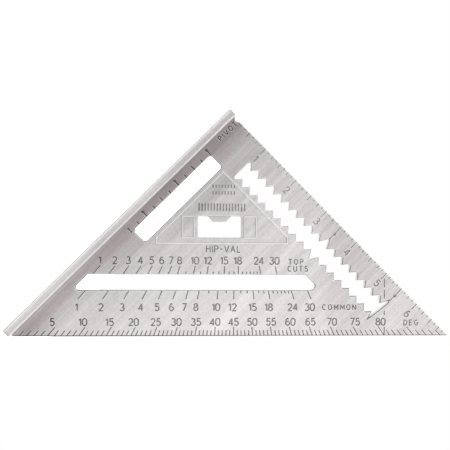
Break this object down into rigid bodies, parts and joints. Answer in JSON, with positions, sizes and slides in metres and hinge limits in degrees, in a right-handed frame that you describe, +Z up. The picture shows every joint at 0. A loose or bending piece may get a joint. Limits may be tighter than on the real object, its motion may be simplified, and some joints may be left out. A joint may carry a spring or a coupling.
{
  "type": "speed square",
  "caption": "Triangular rafter square with a T-shaped fence, inch, degree and rafter scales cut into its face, and a notched slot for scribing lines parallel to a board's edge.",
  "frame": {"origin": "the pivot corner: where the fence's inner face meets the ruler edge, at mid thickness of the plate", "axes": "+X along the fence, away from the pivot; +Z up the ruler edge; the marked face looks along -Y"},
  "size_m": [0.1778, 0.0222, 0.1833],
  "materials": {
    "plate": "brushed along the fence, with duller cut marks",
    "fence": "brushed along its length"
  },
  "bodies": {
    "root": {"plate": "plate", "fence": "fence"}
  },
  "joints": []
}
